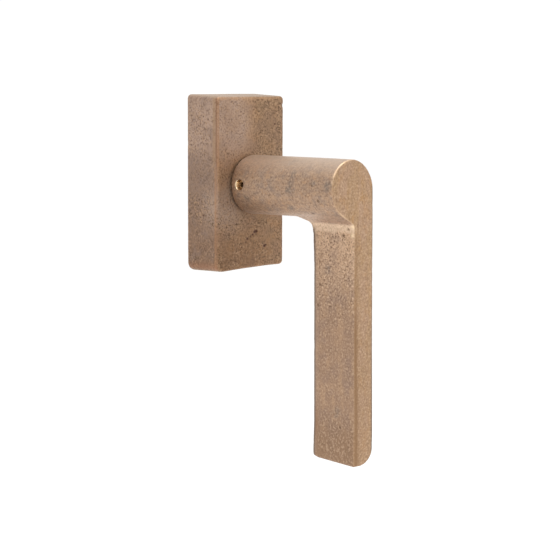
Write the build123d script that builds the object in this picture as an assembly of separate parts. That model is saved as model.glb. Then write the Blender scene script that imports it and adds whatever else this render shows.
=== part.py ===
from build123d import *
from math import sqrt
import os

# A cast bronze window handle: an offset flat lever on a round neck, which turns in
# a deep rectangular rose. Under the rose a die-cast base carries a 90-degree detent
# and the square spindle that drives the window's gearbox.
#
# Millimetres. +Z is up, +Y goes into the window and the lever stands out along -Y.
# The origin is on the spindle's axis, in the face that lies on the sash.
# "Depth" below is the distance from that face towards the room, so depth is -Y.

# Rose: a bronze casting, open at the back. Its height and width are those at the wall,
# and the drafts are how far each end and each side leans in from there to the front.
rose_height = 68.8
rose_width = 36.1
rose_end_draft = 1.2
rose_side_draft = 0.6
rose_wall = 2.7
rose_front_wall = 3.0
rose_corner_radius = 1.7
rose_edge_chamfer = 0.5
rose_rim_chamfer = 0.3
rose_inside_radius = 2.0
rose_inside_room = 2.5

# Lever: one bronze casting with the neck, the blade and a turned spigot
neck_diameter = 22.0
neck_rim_chamfer = 0.4
lever_reach = 55.0
blade_length = 103.8
blade_thickness = 10.1
blade_depth = 21.5
blade_outer_corner = 6.5
blade_inner_corner = 1.2
blade_back_edge_chamfer = 0.7
lever_face_edge_chamfer = 0.5
web_radius = 7.5
side_fillet_radius = 6.5
spigot_diameter = 14.0

# Neck bush: nylon, snapped into the rose
bush_wall = 1.5
bush_flange_inset = 1.0
bush_flange_thickness = 0.5
bush_lip = 0.4
bush_lip_length = 1.0

# Spindle and the spring clip that holds it in the cam's hub
spindle_side = 7.0
spindle_length = 56.0
spindle_projection = 14.0
spindle_corner_chamfer = 0.4
spindle_end_chamfer = 0.5
clip_inner_diameter = 8.7
clip_outer_diameter = 12.0
clip_thickness = 1.0
clip_gap_width = 5.0
clip_setback = 0.6

# Grub screws, with a hexagon socket
grub_diameter = 4.0
grub_length = 6.0
grub_setback = 4.9
grub_point_diameter = 2.4
grub_point_length = 0.8
grub_mouth_diameter = 5.3
grub_socket = 2.0
grub_socket_depth = 2.2
cover_screw_length = 3.2
cover_screw_point_diameter = 2.5
cover_screw_point_length = 2.0
cover_screw_depth = 3.4
cover_screw_recess = 0.2

# Base plate: a zinc casting with two locating lugs
plate_thickness = 2.5
base_corner_radius = 1.6
lug_spacing = 43.0
lug_diameter = 10.0
lug_length = 9.0
boss_diameter = 12.5
boss_depth = 5.2
rib_width = 3.0
rib_depth = 4.0
housing_end_wall = 2.0
tongue_width = 10.0
tongue_depth = 2.0
tongue_reach = 1.3
tongue_start = 3.0
screw_tab_width = 9.0
screw_tab_height = 3.4
screw_tab_depth = 6.2

# Detent: a square cam between two leaf springs, under a keeper plate
cam_across_flats = 16.0
cam_corner_cut = 1.5
cam_thickness = 5.5
cam_washer_diameter = 19.0
cam_washer_thickness = 0.5
hub_rear_diameter = 15.0
hub_front_diameter = 13.0
hub_front_stand = 0.5
hub_rear_setback = 0.3
disc_spring_inner_diameter = 9.8
disc_spring_outer_diameter = 12.8
disc_spring_thickness = 0.3
disc_spring_height = 0.7
spring_thickness = 0.7
spring_length = 27.4
spring_height = 4.8
spring_seat_length = 2.2
spring_end_room = 0.5
spring_back_room = 0.5
keeper_thickness = 1.2
keeper_corner_radius = 2.0
keeper_screw_diameter = 2.5
keeper_screw_grip = 4.4
keeper_head_diameter = 4.5
keeper_head_height = 1.6
keeper_slot_width = 0.7
keeper_slot_depth = 0.8

# Fixing screws: M5 countersunk, with a hexagon socket
fixing_diameter = 5.0
fixing_length = 20.0
fixing_head_diameter = 9.8
fixing_head_height = 2.7
fixing_socket = 3.0
fixing_socket_depth = 2.0

# Clearances
running_clearance = 0.05
axial_play = 0.1
press_clearance = 0.02
thread_clearance = 0.03
cover_clearance = 0.3
hole_clearance = 0.15
seat_clearance = 0.05
hole_end_room = 1.0
thread_end_room = 0.2
socket_corner_chamfer = 0.1

# Places that follow from the sizes, as depths towards the room
cam_back = plate_thickness + cam_washer_thickness + axial_play
cam_front = cam_back + cam_thickness
keeper_back = cam_front + axial_play
keeper_front = keeper_back + keeper_thickness
hub_front = keeper_front + hub_front_stand
spigot_tip = hub_front + disc_spring_height + 2 * seat_clearance
rose_front_inside = keeper_front + keeper_head_height + rose_inside_room
rose_depth = rose_front_inside + rose_front_wall
neck_end = rose_depth + bush_flange_thickness + axial_play
lever_face = rose_depth + lever_reach
blade_back = lever_face - blade_depth
spindle_front = spindle_length - spindle_projection
grub_depth = neck_end + grub_setback

# Widths and heights that follow from the sizes
neck_radius = neck_diameter / 2
rose_front_width = rose_width - 2 * rose_side_draft
rose_front_height = rose_height - 2 * rose_end_draft
inside_width = rose_front_width - 2 * rose_wall
inside_height = rose_front_height - 2 * rose_wall
base_width = inside_width - 2 * cover_clearance
base_height = inside_height - 2 * cover_clearance
bush_bore_radius = spigot_diameter / 2 + running_clearance
bush_outer_radius = bush_bore_radius + bush_wall
rose_bore_radius = bush_outer_radius + press_clearance
lug_places = (lug_spacing / 2, -lug_spacing / 2)
cover_screw_entry = rose_height / 2 - rose_end_draft * cover_screw_depth / rose_depth
cover_screw_bottom = cover_screw_recess - cover_screw_entry
cam_corner_radius = cam_across_flats / sqrt(2) - cam_corner_cut
spring_place = cam_across_flats / 2 + running_clearance + spring_thickness / 2
pocket_end_half_width = spring_place + spring_thickness / 2 + running_clearance
pocket_side_half_width = cam_corner_radius + spring_thickness + spring_back_room
pocket_side_height = spring_length - 2 * spring_seat_length
pocket_height = spring_length + 2 * spring_end_room
housing_height = pocket_height + 2 * housing_end_wall
keeper_screw_x = (pocket_end_half_width + base_width / 2) / 2
keeper_screw_z = (pocket_side_height + housing_height) / 4


def slab(width, height, start, end, x=0.0, z=0.0, corner=0.0):
    """A block from one depth to another, seen from the room as width by height."""
    outline = RectangleRounded(width, height, corner) if corner else Rectangle(width, height)
    return extrude(Plane.XZ.offset(start) * Pos(x, z) * outline, amount=end - start)


def rod(radius, start, end, x=0.0, z=0.0):
    """A round bar along the spindle's direction, from one depth to another."""
    return extrude(Plane.XZ.offset(start) * Pos(x, z) * Circle(radius), amount=end - start)


def turned(points, x=0.0, z=0.0):
    """A turned solid on an axis along the depth: points are (radius, depth) in order."""
    outline = Polyline(*[(radius, -depth) for radius, depth in points], close=True)
    return Pos(x, 0, z) * revolve(make_face(outline), Axis.Y)


def square_bar(side, start, end, chamfer_size):
    """A square bar on the spindle's axis with its long corners broken."""
    outline = chamfer(Rectangle(side, side).vertices(), chamfer_size)
    return extrude(Plane.XZ.offset(start) * outline, amount=end - start)


def hexagon(across_flats):
    """The outline of a hexagon socket."""
    return RegularPolygon(across_flats / 2, 6, major_radius=False)


def grub_screw(length, point_diameter, point_length):
    """A grub screw along +Z with its socket at the origin and its point at the top."""
    screw = extrude(Circle(grub_diameter / 2), amount=length)
    point = Pos(0, 0, length) * extrude(Circle(point_diameter / 2), amount=point_length)
    return screw + point - extrude(hexagon(grub_socket), amount=grub_socket_depth)


def spindle_socket(start, end):
    """The cutter for a square hole in which the spindle slides."""
    return square_bar(spindle_side + 2 * running_clearance, start, end, socket_corner_chamfer)


def lever_outline():
    """The lever seen from the room: the neck's circle with the blade under its right half."""
    inner_side = neck_radius - blade_thickness
    junction = (inner_side, -sqrt(neck_radius**2 - inner_side**2))
    blade = Rectangle(blade_thickness, blade_length)
    outline = Circle(neck_radius) + Pos(inner_side + blade_thickness / 2, -blade_length / 2) * blade
    for corner, radius in (
        (junction, side_fillet_radius),
        ((neck_radius, -blade_length), blade_outer_corner),
        ((inner_side, -blade_length), blade_inner_corner),
    ):
        nearest = outline.vertices().sort_by_distance((*corner, 0))[0]
        outline = fillet(nearest, radius)
    return outline


def make_web(outline):
    """The concave web behind the blade's root, turned about the neck's axis.

    It is trimmed to the lever's outline, so that it runs into the neck and into
    the blade's back without a step. It reaches a little into both of them.
    """
    overlap = 1.0
    web_start = blade_back - web_radius
    side = web_radius + overlap
    corner = Pos(neck_radius - overlap + side / 2, -(web_start + side / 2))
    section = corner * Rectangle(side, side)
    section -= Pos(neck_radius + web_radius, -web_start) * Circle(web_radius)
    trim = extrude(Plane.XZ.offset(web_start) * outline, amount=side)
    return revolve(section, Axis.Y) & trim


def make_lever():
    """Neck, blade and web in one casting, with a turned spigot behind the neck."""
    outline = lever_outline()
    blade = extrude(Plane.XZ.offset(blade_back) * outline, amount=blade_depth)
    blade = chamfer(blade.edges().group_by(Axis.Y)[-1], blade_back_edge_chamfer)
    neck = rod(neck_radius, neck_end, lever_face)
    neck = chamfer(neck.edges().group_by(Axis.Y)[-1], neck_rim_chamfer)
    casting = neck + blade + make_web(outline)
    casting = chamfer(casting.edges().group_by(Axis.Y)[0], lever_face_edge_chamfer)
    casting += rod(spigot_diameter / 2, spigot_tip, grub_depth)

    casting -= spindle_socket(spigot_tip, spindle_front + hole_end_room)
    hole = Circle(grub_diameter / 2 + thread_clearance)
    casting -= extrude(Plane.YZ * Pos(-grub_depth, 0) * hole, amount=-neck_radius)
    mouth_depth = (grub_mouth_diameter - grub_diameter) / 2
    mouth = Cone(
        grub_diameter / 2,
        grub_mouth_diameter / 2,
        mouth_depth,
        align=(Align.CENTER, Align.CENTER, Align.MIN),
    )
    return casting - Pos(mouth_depth - neck_radius, -grub_depth, 0) * Rot(0, -90, 0) * mouth


def make_lever_grub_screw():
    """The screw in the neck's side, which clamps the lever on the spindle."""
    screw = grub_screw(grub_length - grub_point_length, grub_point_diameter, grub_point_length)
    start = spindle_side / 2 + press_clearance + grub_length
    return Pos(-start, -grub_depth, 0) * Rot(0, 90, 0) * screw


def make_spindle():
    """The square bar, with a shallow groove across its corners for the clip."""
    bar = square_bar(spindle_side, -spindle_projection, spindle_front, spindle_corner_chamfer)
    ends = bar.edges().group_by(Axis.Y)
    bar = chamfer(ends[0] + ends[-1], spindle_end_chamfer)
    start = clip_setback - running_clearance
    end = clip_setback + clip_thickness + running_clearance
    groove_floor = rod(clip_inner_diameter / 2 - running_clearance, start, end)
    return bar - (rod(spindle_side, start, end) - groove_floor)


def make_spindle_clip():
    """A spring-steel ring with one gap, in the groove and against the cam's hub."""
    start = clip_setback
    end = clip_setback + clip_thickness
    ring = rod(clip_outer_diameter / 2, start, end) - rod(clip_inner_diameter / 2, start, end)
    return ring - slab(clip_outer_diameter, clip_gap_width, start, end, x=-clip_outer_diameter / 2)


def make_detent_cam():
    """The square cam with a journal at each end and the spindle's square hole."""
    cam = rod(cam_corner_radius, cam_back, cam_front)
    cam &= slab(cam_across_flats, cam_across_flats, cam_back, cam_front)
    cam += rod(hub_rear_diameter / 2, hub_rear_setback, cam_back)
    cam += rod(hub_front_diameter / 2, cam_front, hub_front)
    cam -= spindle_socket(hub_rear_setback, hub_front)
    clip_seat = clip_setback + clip_thickness + running_clearance
    return cam - rod(clip_outer_diameter / 2 + hole_clearance, hub_rear_setback, clip_seat)


def make_cam_washer():
    """An acetal ring between the cam and the base plate's floor."""
    start = plate_thickness
    end = plate_thickness + cam_washer_thickness
    bore = rod(hub_rear_diameter / 2 + running_clearance, start, end)
    return rod(cam_washer_diameter / 2, start, end) - bore


def make_disc_spring():
    """A conical steel ring between the cam's hub and the spigot, which takes up the play."""
    inner = disc_spring_inner_diameter / 2
    outer = disc_spring_outer_diameter / 2
    start = hub_front + seat_clearance
    end = start + disc_spring_height
    return turned(
        [
            (inner, start),
            (inner, start + disc_spring_thickness),
            (outer, end),
            (outer, end - disc_spring_thickness),
        ]
    )


def make_detent_spring(side):
    """A flat steel leaf along one flat of the cam. side is -1 on the left, 1 on the right."""
    start = (cam_back + cam_front - spring_height) / 2
    end = start + spring_height
    return slab(spring_thickness, spring_length, start, end, x=side * spring_place)


def keeper_screw_places():
    """The four corners of the keeper plate's screw pattern, as (x, z)."""
    return [(side * keeper_screw_x, end * keeper_screw_z) for side in (-1, 1) for end in (-1, 1)]


def make_base_plate():
    """The casting that is screwed to the sash: plate, lugs, bosses and detent housing."""
    outline_block = slab(base_width, base_height, 0, keeper_back, corner=base_corner_radius)
    base = slab(base_width, base_height, 0, plate_thickness, corner=base_corner_radius)
    base += slab(base_width, housing_height, 0, keeper_back, corner=base_corner_radius)
    base += slab(rib_width, base_height - 2 * base_corner_radius, 0, rib_depth)
    for z in lug_places:
        base += rod(boss_diameter / 2, 0, boss_depth, z=z) & outline_block
        base += rod(lug_diameter / 2, -lug_length, 0, z=z)

    # The tongue hooks into the rose at the top, and a screw holds it at the bottom.
    tongue_end = tongue_start + tongue_depth
    tongue_top = base_height / 2 + tongue_reach
    base += slab(tongue_width, tongue_depth, 0, tongue_end, z=(base_height - tongue_depth) / 2)
    base += slab(
        tongue_width,
        tongue_reach + tongue_depth,
        tongue_start,
        tongue_end,
        z=tongue_top - (tongue_reach + tongue_depth) / 2,
    )
    tab_place = (screw_tab_height - base_height) / 2
    base += slab(screw_tab_width, screw_tab_height, 0, screw_tab_depth, z=tab_place)

    # The pocket is wide at the cam and narrow at the ends, where it backs the springs.
    base -= slab(2 * pocket_end_half_width, pocket_height, plate_thickness, keeper_back)
    base -= slab(2 * pocket_side_half_width, pocket_side_height, plate_thickness, keeper_back)
    base -= rod(hub_rear_diameter / 2 + running_clearance, 0, plate_thickness)

    for z in lug_places:
        base -= rod(fixing_diameter / 2 + hole_clearance, -lug_length, boss_depth, z=z)
        base -= turned(fixing_head_outline(seat_clearance), z=z)
    for x, z in keeper_screw_places():
        hole_start = keeper_back - keeper_screw_grip
        base -= rod(keeper_screw_diameter / 2 + thread_clearance, hole_start, keeper_back, x, z)

    # The cover screw's point enters this hole from below.
    point_end = cover_screw_bottom + cover_screw_length + cover_screw_point_length
    hole_depth = point_end + base_height / 2 + hole_end_room
    point_hole = extrude(Circle(cover_screw_point_diameter / 2 + hole_clearance), amount=hole_depth)
    return base - Pos(0, -cover_screw_depth, -base_height / 2) * point_hole


def make_keeper_plate():
    """The steel plate that closes the detent and carries the cam's front journal."""
    plate = slab(base_width, housing_height, keeper_back, keeper_front, corner=keeper_corner_radius)
    plate -= rod(hub_front_diameter / 2 + running_clearance, keeper_back, keeper_front)
    for x, z in keeper_screw_places():
        plate -= rod(keeper_screw_diameter / 2 + hole_clearance, keeper_back, keeper_front, x, z)
    return plate


def make_keeper_screws():
    """Four slotted cheese-head screws."""
    screws = []
    tip = keeper_back - keeper_screw_grip + thread_end_room
    head_front = keeper_front + keeper_head_height
    for x, z in keeper_screw_places():
        shank = rod(keeper_screw_diameter / 2, tip, keeper_front, x, z)
        head = rod(keeper_head_diameter / 2, keeper_front, head_front, x, z)
        slot_floor = head_front - keeper_slot_depth
        slot = slab(keeper_head_diameter, keeper_slot_width, slot_floor, head_front, x, z)
        screws.append(shank + head - slot)
    return Compound(children=screws)


def fixing_head_outline(clearance):
    """Half the section of a countersunk head, with a clearance all round its cone."""
    shank = fixing_diameter / 2
    head = fixing_head_diameter / 2
    return [
        (0, boss_depth - fixing_head_height - clearance),
        (shank + clearance, boss_depth - fixing_head_height - clearance),
        (head + clearance, boss_depth),
        (0, boss_depth),
    ]


def make_fixing_screws():
    """Two countersunk screws through the bosses and the lugs."""
    screws = []
    tip = boss_depth - fixing_length
    for z in lug_places:
        shank = rod(fixing_diameter / 2, tip, boss_depth - fixing_head_height, z=z)
        head = turned(fixing_head_outline(0), z=z)
        socket_plane = Plane.XZ.offset(boss_depth - fixing_socket_depth) * Pos(0, z)
        socket = extrude(socket_plane * hexagon(fixing_socket), amount=fixing_socket_depth)
        screws.append(shank + head - socket)
    return Compound(children=screws)


def make_cover_screw():
    """The small screw in the rose's underside, with a point that enters the base plate."""
    screw = grub_screw(cover_screw_length, cover_screw_point_diameter, cover_screw_point_length)
    return Pos(0, -cover_screw_depth, cover_screw_bottom) * screw


def tapered(width_at_wall, width_at_front):
    """The rose's outline in the XY plane, drawn in from the wall to the front."""
    back, front = width_at_wall / 2, width_at_front / 2
    return make_face(
        Polyline((-back, 0), (back, 0), (front, -rose_depth), (-front, -rose_depth), close=True)
    )


def make_rose_cover():
    """The bronze box with drafted walls and dressed edges, with a bore for the bush."""
    seen_from_above = tapered(rose_width, rose_front_width)
    seen_from_side = Rot(0, 90, 0) * tapered(rose_height, rose_front_height)
    block = extrude(seen_from_above, amount=rose_height / 2, both=True)
    block &= extrude(seen_from_side, amount=rose_width / 2, both=True)
    corners = [edge for edge in block.edges() if abs(edge.tangent_at(0.5).Y) > 0.5]
    block = fillet(corners, rose_corner_radius)
    block = chamfer(block.edges().group_by(Axis.Y)[0], rose_edge_chamfer)
    block = chamfer(block.edges().group_by(Axis.Y)[-1], rose_rim_chamfer)
    block -= slab(inside_width, inside_height, 0, rose_front_inside, corner=rose_inside_radius)
    block -= rod(rose_bore_radius, rose_front_inside, rose_depth)

    slot_height = tongue_reach + cover_clearance
    block -= slab(
        tongue_width + 2 * cover_clearance,
        slot_height,
        tongue_start - cover_clearance,
        tongue_start + tongue_depth + cover_clearance,
        z=(inside_height + slot_height) / 2,
    )
    screw_hole = extrude(Circle(grub_diameter / 2 + thread_clearance), amount=rose_height / 4)
    return block - Pos(0, -cover_screw_depth, -rose_height / 2) * screw_hole


def make_neck_bush():
    """The nylon bush: a thin flange outside, a sleeve in the wall and a lip inside."""
    lip_front = rose_front_inside - axial_play
    flange_front = rose_depth + bush_flange_thickness
    flange_radius = neck_radius - bush_flange_inset
    return turned(
        [
            (bush_bore_radius, lip_front - bush_lip_length),
            (bush_outer_radius, lip_front - bush_lip_length),
            (bush_outer_radius + bush_lip, lip_front),
            (bush_outer_radius, lip_front),
            (bush_outer_radius, rose_depth),
            (flange_radius, rose_depth),
            (flange_radius, flange_front),
            (bush_bore_radius, flange_front),
        ]
    )


parts = {
    "lever": make_lever(),
    "lever_grub_screw": make_lever_grub_screw(),
    "spindle": make_spindle(),
    "spindle_clip": make_spindle_clip(),
    "detent_cam": make_detent_cam(),
    "disc_spring": make_disc_spring(),
    "cam_washer": make_cam_washer(),
    "left_detent_spring": make_detent_spring(-1),
    "right_detent_spring": make_detent_spring(1),
    "base_plate": make_base_plate(),
    "keeper_plate": make_keeper_plate(),
    "keeper_screws": make_keeper_screws(),
    "fixing_screws": make_fixing_screws(),
    "rose_cover": make_rose_cover(),
    "cover_screw": make_cover_screw(),
    "neck_bush": make_neck_bush(),
}

os.makedirs("parts", exist_ok=True)
for name, shape in parts.items():
    export_step(shape, f"parts/{name}.step")
    print(name, len(shape.solids()), "solid(s)", round(shape.volume, 1), "mm3")
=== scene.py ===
import math

import bmesh
import bpy
import numpy as np
from mathutils import Matrix, Vector, kdtree, noise


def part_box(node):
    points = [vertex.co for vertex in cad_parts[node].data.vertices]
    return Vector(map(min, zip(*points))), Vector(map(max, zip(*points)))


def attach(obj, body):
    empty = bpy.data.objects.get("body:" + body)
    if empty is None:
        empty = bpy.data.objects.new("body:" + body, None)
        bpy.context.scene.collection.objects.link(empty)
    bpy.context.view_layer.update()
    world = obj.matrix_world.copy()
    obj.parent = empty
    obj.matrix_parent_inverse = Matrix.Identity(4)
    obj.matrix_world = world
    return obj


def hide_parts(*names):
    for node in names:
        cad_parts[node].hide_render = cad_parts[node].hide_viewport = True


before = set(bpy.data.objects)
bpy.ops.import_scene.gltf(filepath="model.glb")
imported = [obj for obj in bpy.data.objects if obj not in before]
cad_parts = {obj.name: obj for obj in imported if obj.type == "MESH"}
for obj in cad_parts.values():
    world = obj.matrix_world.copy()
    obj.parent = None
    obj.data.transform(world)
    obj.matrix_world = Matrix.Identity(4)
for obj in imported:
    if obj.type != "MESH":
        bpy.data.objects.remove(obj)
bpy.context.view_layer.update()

# Base plate. A zinc die casting, screwed to the sash through its two lugs. It keeps
# the skin of the die: dull grey, drawn out by the metal's flow, with paler oxide
# in patches and a fine tooth all over.
mm = 0.001


def shade(red, green, blue):
    """A colour as a screen shows it, from 0 to 255, turned into the light it sends back."""
    return tuple(((part / 255 + 0.055) / 1.055) ** 2.4 for part in (red, green, blue)) + (1.0,)


class Finish:
    """A surface finish: one material, with its shader and the textures that drive it."""

    def __init__(self, name, metallic, roughness):
        self.material = bpy.data.materials.new(name)
        self.material.use_nodes = True
        self.nodes = self.material.node_tree.nodes
        self.links = self.material.node_tree.links
        self.shader = self.nodes["Principled BSDF"]
        self.shader.inputs["Metallic"].default_value = metallic
        self.shader.inputs["Roughness"].default_value = roughness
        self.place = self.nodes.new("ShaderNodeTexCoord").outputs["Object"]

    def lumps(self, size, octaves=2.0, drawn_out=(1.0, 1.0, 1.0), shift=0.0):
        """Soft random lumps about size across, drawn out along an axis, from 0 to 1."""
        stretch = self.nodes.new("ShaderNodeMapping")
        stretch.inputs["Location"].default_value = (shift, shift, shift)
        stretch.inputs["Scale"].default_value = [1 / length for length in drawn_out]
        self.links.new(self.place, stretch.inputs["Vector"])
        texture = self.nodes.new("ShaderNodeTexNoise")
        texture.inputs["Scale"].default_value = 1 / size
        texture.inputs["Detail"].default_value = octaves
        self.links.new(stretch.outputs["Vector"], texture.inputs["Vector"])
        return texture.outputs["Fac"]

    def grains(self, size):
        """Packed grains about size across: 0 in each middle and rising to the borders."""
        texture = self.nodes.new("ShaderNodeTexVoronoi")
        texture.inputs["Scale"].default_value = 1 / size
        self.links.new(self.place, texture.inputs["Vector"])
        return texture.outputs["Distance"]

    def mark(self, name):
        """A mark that the mesh carries at each point, such as its worn edges."""
        attribute = self.nodes.new("ShaderNodeAttribute")
        attribute.attribute_name = name
        return attribute.outputs["Fac"]

    def along(self, axis):
        """The place along X, Y or Z, in metres."""
        parts = self.nodes.new("ShaderNodeSeparateXYZ")
        self.links.new(self.place, parts.inputs["Vector"])
        return parts.outputs[axis]

    def between(self, value, low, high, first=0.0, last=1.0):
        """Carries low..high over to first..last, and holds it there outside."""
        ramp = self.nodes.new("ShaderNodeMapRange")
        for name, number in zip(("From Min", "From Max", "To Min", "To Max"), (low, high, first, last)):
            ramp.inputs[name].default_value = number
        self.links.new(value, ramp.inputs["Value"])
        return ramp.outputs["Result"]

    def clouds(self, size, low, high, first=0.0, last=1.0, octaves=3.0, **placing):
        """Lumps with their low..high carried over to first..last; the placing is drawn_out
        and shift, as for lumps."""
        return self.between(self.lumps(size, octaves, **placing), low, high, first, last)

    def times(self, first, second):
        """The product of two values, each a texture or a plain number."""
        product = self.nodes.new("ShaderNodeMath")
        product.operation = "MULTIPLY"
        for socket, value in zip(product.inputs, (first, second)):
            if isinstance(value, (int, float)):
                socket.default_value = value
            else:
                self.links.new(value, socket)
        return product.outputs["Value"]

    def mixed(self, share, first, second):
        """A colour between two others, each a plain colour or already a mixture."""
        mixer = self.nodes.new("ShaderNodeMix")
        mixer.data_type = "RGBA"
        self.links.new(share, mixer.inputs[0])
        for socket, colour in ((mixer.inputs[6], first), (mixer.inputs[7], second)):
            if isinstance(colour, tuple):
                socket.default_value = colour
            else:
                self.links.new(colour, socket)
        return mixer.outputs[2]

    def tinted(self, colour, *tints):
        """A colour with others laid over it in turn. Each comes after its share, which is
        a texture or one of the mesh's marks, and after its strength."""
        for share, strength, tint in tints:
            if isinstance(share, str):
                share = self.mark(share)
            colour = self.mixed(self.times(share, strength), colour, tint)
        return colour

    def speckled(self, colour, size, strength, dark, light, shift=0.0):
        """A colour broken up by dark specks about size across and fainter pale ones."""
        dark_specks = self.clouds(size, 0.53, 0.34, shift=shift)
        pale_specks = self.clouds(1.15 * size, 0.49, 0.68, last=0.8, shift=shift + 5)
        return self.tinted(colour, (dark_specks, strength, dark), (pale_specks, strength, light))

    def paint(self, colour):
        self.links.new(colour, self.shader.inputs["Base Color"])

    def gloss(self, roughness):
        self.links.new(roughness, self.shader.inputs["Roughness"])

    def relief(self, *layers):
        """Fine relief from layers of (height, depth in metres), laid one on the other."""
        below = None
        for height, depth in layers:
            bump = self.nodes.new("ShaderNodeBump")
            bump.inputs["Distance"].default_value = depth
            self.links.new(height, bump.inputs["Height"])
            if below:
                self.links.new(below, bump.inputs["Normal"])
            below = bump.outputs["Normal"]
        self.links.new(below, self.shader.inputs["Normal"])

    def put_on(self, node_name):
        """Gives a CAD node this finish."""
        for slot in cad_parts[node_name].material_slots:
            slot.material = self.material


die_cast = Finish("die_cast_zinc", metallic=0.85, roughness=0.5)
flow = die_cast.lumps(4 * mm, 3.0, drawn_out=(1, 1, 3))
oxide = die_cast.clouds(9 * mm, 0.45, 0.72, octaves=4.0, shift=0.3)
die_grey = die_cast.mixed(flow, shade(128, 131, 136), shade(168, 171, 174))
die_cast.paint(die_cast.mixed(oxide, die_grey, shade(188, 188, 184)))
die_cast.gloss(die_cast.between(flow, 0.3, 0.7, 0.42, 0.62))
die_cast.relief((die_cast.lumps(0.35 * mm, 3.0), 0.02 * mm), (flow, 0.03 * mm))
die_cast.put_on("base_plate")

# Cam washer. A thin white acetal ring on which the cam turns: a smooth, slightly waxy
# plastic, greyed in patches by the cam's wear.
acetal = Finish("white_acetal_washer", metallic=0.0, roughness=0.4)
acetal.shader.inputs["Subsurface Weight"].default_value = 0.1
acetal.shader.inputs["Subsurface Scale"].default_value = mm
greyed = acetal.clouds(2.5 * mm, 0.4, 0.75)
acetal.paint(acetal.mixed(greyed, shade(236, 234, 226), shade(205, 201, 190)))
acetal.gloss(acetal.between(greyed, 0.0, 1.0, 0.35, 0.55))
acetal.relief((acetal.lumps(0.5 * mm, 2.0), 0.01 * mm))
acetal.put_on("cam_washer")

# Detent cam. A square cam pressed and sintered from steel powder: dark grey, evenly
# porous, and filled with oil, which darkens it in patches.
sintered = Finish("oiled_sintered_steel", metallic=0.8, roughness=0.45)
pore = sintered.between(sintered.grains(0.45 * mm), 0.0, 0.35)
oily = sintered.clouds(5 * mm, 0.4, 0.65)
powder = sintered.mixed(oily, shade(122, 118, 112), shade(88, 84, 78))
sintered.paint(sintered.mixed(pore, shade(48, 45, 42), powder))
sintered.gloss(sintered.between(oily, 0.0, 1.0, 0.55, 0.32))
sintered.relief((pore, 0.03 * mm))
sintered.put_on("detent_cam")

# Detent springs. Two leaves cut from hardened and blued strip: straw to blue temper
# colours that wander along the leaf, over fine lines from the rolling.
blued = Finish("blued_spring_steel", metallic=0.95, roughness=0.3)
temper = blued.lumps(8 * mm, 2.0, drawn_out=(1, 1, 2))
straw_to_violet = blued.mixed(blued.between(temper, 0.35, 0.5), shade(130, 110, 84), shade(92, 78, 108))
blued.paint(blued.mixed(blued.between(temper, 0.48, 0.66), straw_to_violet, shade(66, 82, 112)))
rolling = blued.lumps(0.12 * mm, 2.0, drawn_out=(1, 1, 40))
blued.gloss(blued.between(rolling, 0.3, 0.7, 0.24, 0.38))
blued.relief((rolling, 0.006 * mm))
for spring in ("left_detent_spring", "right_detent_spring"):
    blued.put_on(spring)

# Keeper plate and its four cheese-head screws. Steel, zinc plated and passivated:
# bright bluish grey with a faint yellow-green bloom. The plate is blanked from strip
# and the screws are headed, so the plate has rolling lines and the screws have none.
plated_plate = Finish("zinc_plated_strip", metallic=0.95, roughness=0.35)
bloom = plated_plate.clouds(6 * mm, 0.4, 0.7)
plated_plate.paint(plated_plate.mixed(bloom, shade(176, 181, 188), shade(186, 184, 160)))
strip_lines = plated_plate.lumps(0.16 * mm, 2.0, drawn_out=(1, 1, 30))
plated_plate.gloss(plated_plate.between(strip_lines, 0.3, 0.7, 0.3, 0.46))
plated_plate.relief((strip_lines, 0.008 * mm), (plated_plate.lumps(1.5 * mm, 2.0), 0.01 * mm))
plated_plate.put_on("keeper_plate")

plated_screw = Finish("zinc_plated_screws", metallic=0.95, roughness=0.3)
screw_bloom = plated_screw.clouds(1.8 * mm, 0.42, 0.68)
plated_screw.paint(plated_screw.mixed(screw_bloom, shade(184, 188, 194), shade(190, 186, 162)))
plated_screw.gloss(plated_screw.clouds(0.6 * mm, 0.3, 0.7, 0.24, 0.42, octaves=2.0))
plated_screw.relief((plated_screw.lumps(0.3 * mm, 2.0), 0.008 * mm))
plated_screw.put_on("keeper_screws")

# Fixing screws. Two M5 countersunk screws with hexagon sockets, which pass through
# the lugs into the sash. Rolled threads, zinc plated like the keeper's screws.
fixing_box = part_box("fixing_screws")
fixing_radius = 2.5 * mm
fixing_pitch = 0.8 * mm
fixing_head_radius = fixing_box[1].x
fixing_spacing = fixing_box[1].z - fixing_box[0].z - 2 * fixing_head_radius
fixing_head_cone = 2.7 * mm
fixing_head_edge = 0.1 * mm
fixing_length = fixing_box[1].y - fixing_box[0].y
fixing_point = 0.6 * mm
fixing_socket = 3.0 * mm
fixing_socket_depth = 2.0 * mm
ring_points = 48


def ring_of(radii, height):
    """Points round the Z axis at one height; radii is one radius or one for each point."""
    if np.ndim(radii) == 0:
        radii = np.full(ring_points, radii)
    angles = np.linspace(0, 2 * math.pi, len(radii), endpoint=False)
    return np.c_[radii * np.cos(angles), radii * np.sin(angles), np.full(len(radii), height)]


def skinned(name, rings, looped=False):
    """A closed solid through rings of points: capped at both ends, or closed into a loop."""
    shape = bmesh.new()
    loops = [[shape.verts.new(point) for point in ring] for ring in rings]
    pairs = list(zip(loops, loops[1:]))
    if looped:
        pairs.append((loops[-1], loops[0]))
    else:
        shape.faces.new(loops[0][::-1])
        shape.faces.new(loops[-1])
    for lower, upper in pairs:
        for here in range(len(lower)):
            there = (here + 1) % len(lower)
            shape.faces.new((lower[here], lower[there], upper[there], upper[here]))
    bmesh.ops.recalc_face_normals(shape, faces=shape.faces)
    mesh = bpy.data.meshes.new(name)
    shape.to_mesh(mesh)
    shape.free()
    piece = bpy.data.objects.new(name, mesh)
    bpy.context.scene.collection.objects.link(piece)
    return piece


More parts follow.
